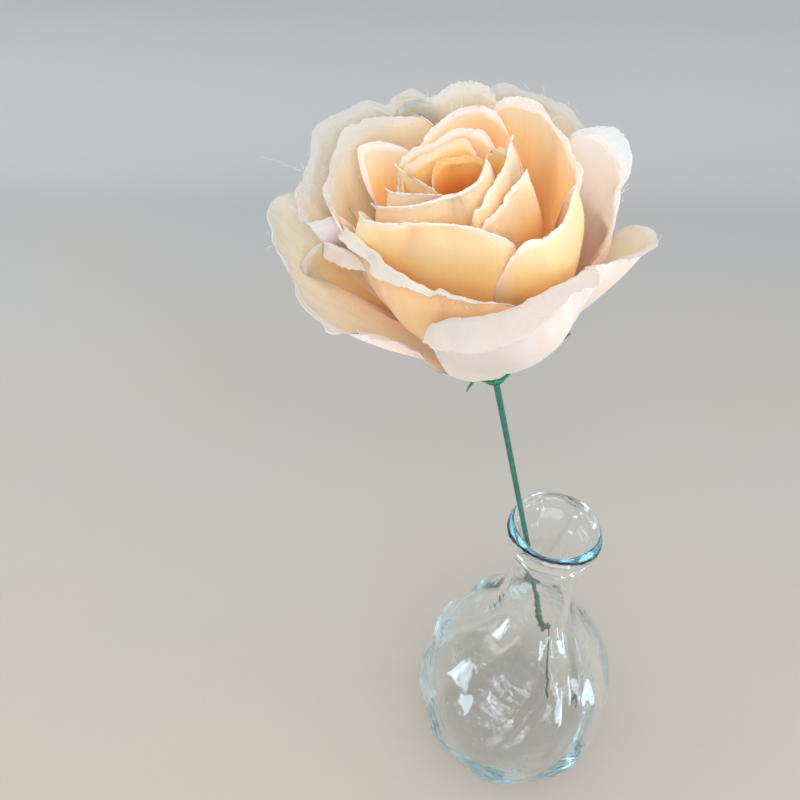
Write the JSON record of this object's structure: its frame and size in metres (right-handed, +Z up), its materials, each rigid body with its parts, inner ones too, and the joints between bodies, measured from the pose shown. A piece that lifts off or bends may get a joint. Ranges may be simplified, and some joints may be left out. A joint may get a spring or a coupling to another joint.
{
  "type": "glass bud vase",
  "caption": "Swirled glass bud vase with a bulbous body, slim neck and rolled lip, holding an artificial rose on a leaning plastic-coated wire stem that lifts out.",
  "frame": {"origin": "centre of the vase's flat foot, on the surface it stands on", "axes": "+Z up along the vase's own axis; the stem leans in the XZ plane, towards -X"},
  "size_m": [0.1237, 0.0898, 0.2881],
  "materials": {
    "clear_glass": "clear blown glass with a faint aqua tint",
    "steel_wire": "bare annealed wire",
    "stem_plastic": "satin green plastic coating",
    "calyx_plastic": "moulded green plastic",
    "bud_foam": "dyed foam",
    "spacer_plastic": "natural polythene",
    "petal_outer": "pale blush woven polyester",
    "petal_middle": "peach woven polyester",
    "petal_inner": "deep peach woven polyester"
  },
  "bodies": {
    "vase": {"vase_glass": "clear_glass"},
    "stem": {"stem_wire": "steel_wire", "stem_sleeve": "stem_plastic"},
    "flower": {"petal_peg": "stem_plastic", "peg_collar": "stem_plastic", "bud_core": "bud_foam", "petal_layer_1": "petal_inner", "petal_layer_2": "petal_inner", "petal_layer_3": "petal_middle", "petal_layer_4": "petal_middle", "petal_layer_5": "petal_middle", "petal_layer_6": "petal_outer", "petal_layer_7": "petal_outer", "petal_spacer_1": "spacer_plastic", "petal_spacer_2": "spacer_plastic", "petal_spacer_3": "spacer_plastic", "petal_spacer_4": "spacer_plastic", "petal_spacer_5": "spacer_plastic", "petal_spacer_6": "spacer_plastic"},
    "calyx": {"calyx_cup": "calyx_plastic", "sepal_star": "calyx_plastic"}
  },
  "joints": [
    {"name": "stem_lift", "type": "slide", "parent": "vase", "child": "stem", "axis": [-0.2368, 0, 0.9715], "range_m": [0, 0.165]},
    {"name": "flower_turn", "type": "hinge", "parent": "stem", "child": "flower", "pos_m": [-0.02906, 0, 0.22714], "axis": [-0.2368, 0, 0.9715], "continuous": true},
    {"name": "calyx_turn", "type": "hinge", "parent": "flower", "child": "calyx", "pos_m": [-0.02906, 0, 0.22714], "axis": [-0.2368, 0, 0.9715], "continuous": true}
  ]
}
